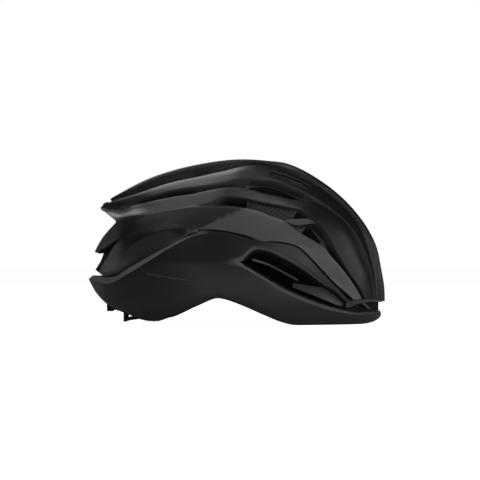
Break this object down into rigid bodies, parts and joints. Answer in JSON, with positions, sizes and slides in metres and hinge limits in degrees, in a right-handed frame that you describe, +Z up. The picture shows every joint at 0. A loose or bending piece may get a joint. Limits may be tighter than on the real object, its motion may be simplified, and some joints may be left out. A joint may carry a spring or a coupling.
{
  "type": "road bike helmet",
  "caption": "Vented road bike helmet with ribbed shell, foam liner, carbon cage, dial fit system, pads, straps and side-release buckle.",
  "frame": {"origin": "under the middle of the rim, on the surface the rim rests on", "axes": "+X towards the front (brow), +Y to the wearer's left, +Z up"},
  "size_m": [0.2845, 0.2046, 0.157],
  "materials": {
    "shell_matte": "matte anthracite paint",
    "carbon": "satin woven carbon laminate",
    "foam": "expanded bead foam, matt",
    "pad": "brushed knit over foam",
    "steel": "brushed",
    "nylon": "natural nylon",
    "dial_rubber": "soft touch",
    "buckle": "moulded satin",
    "webbing": "woven flat webbing",
    "plastic": "moulded nylon"
  },
  "bodies": {
    "helmet": {"upper_shell": "shell_matte", "lower_shell": "shell_matte", "carbon_cage": "carbon", "front_crown_liner": "foam", "rear_crown_liner": "foam", "rim_liner": "foam", "left_vent_net": "pad", "right_vent_net": "pad", "rear_bridge": "foam", "brow_struts": "shell_matte", "brow_pad": "pad", "front_crown_pad": "pad", "rear_crown_pad": "pad", "left_side_pad": "pad", "right_side_pad": "pad", "left_temple_anchor": "plastic", "right_temple_anchor": "plastic", "hanger_guide": "plastic", "front_strap_anchors": "plastic", "rear_strap_anchors": "plastic", "left_front_strap": "webbing", "right_front_strap": "webbing", "left_rear_strap": "webbing", "right_rear_strap": "webbing", "left_divider": "buckle", "right_divider": "buckle", "left_chin_strap": "webbing", "right_chin_strap": "webbing", "chin_pad": "pad", "buckle_socket": "buckle", "strap_keeper": "webbing"},
    "fit_ring": {"left_band": "plastic", "right_band": "plastic", "rear_cradle": "plastic", "left_nape_pad": "pad", "right_nape_pad": "pad", "gear_cover": "plastic", "cover_screws": "steel", "click_ring": "steel", "height_hanger": "plastic"},
    "dial": {"pinion": "nylon", "fit_dial": "dial_rubber", "dial_screw": "steel"},
    "left_rack": {"left_rack": "plastic"},
    "right_rack": {"right_rack": "plastic"},
    "left_cam": {"left_cam": "buckle"},
    "right_cam": {"right_cam": "buckle"},
    "buckle_plug": {"buckle_plug": "buckle"}
  },
  "joints": [
    {"name": "fit_height", "type": "hinge", "parent": "helmet", "child": "fit_ring", "pos_m": [0.03, 0, 0.032], "axis": [0, 1, 0], "range_deg": [0, 3.5]},
    {"name": "fit_dial_turn", "type": "hinge", "parent": "fit_ring", "child": "dial", "pos_m": [-0.119, 0, 0.0225], "axis": [1, 0, 0], "range_deg": [-75, 75]},
    {"name": "left_rack_slide", "type": "slide", "parent": "fit_ring", "child": "left_rack", "axis": [0, -1, 0], "range_m": [-0.0066, 0.0066]},
    {"name": "right_rack_slide", "type": "slide", "parent": "fit_ring", "child": "right_rack", "axis": [0, 1, 0], "range_m": [-0.0066, 0.0066]},
    {"name": "left_cam_turn", "type": "hinge", "parent": "helmet", "child": "left_cam", "pos_m": [-0.005, 0.06319, 0.06934], "axis": [1, 0, 0], "range_deg": [0, 80]},
    {"name": "right_cam_turn", "type": "hinge", "parent": "helmet", "child": "right_cam", "pos_m": [-0.005, -0.06319, 0.06934], "axis": [-1, 0, 0], "range_deg": [0, 80]},
    {"name": "buckle_slide", "type": "slide", "parent": "helmet", "child": "buckle_plug", "axis": [0, -1, 0], "range_m": [0, 0.017], "deforming": ["right_chin_strap"]}
  ],
  "couplings": [
    {"joint": "left_rack_slide", "follows": "fit_dial_turn", "m_per_rad": 0.004966},
    {"joint": "right_rack_slide", "follows": "fit_dial_turn", "m_per_rad": 0.004966}
  ]
}
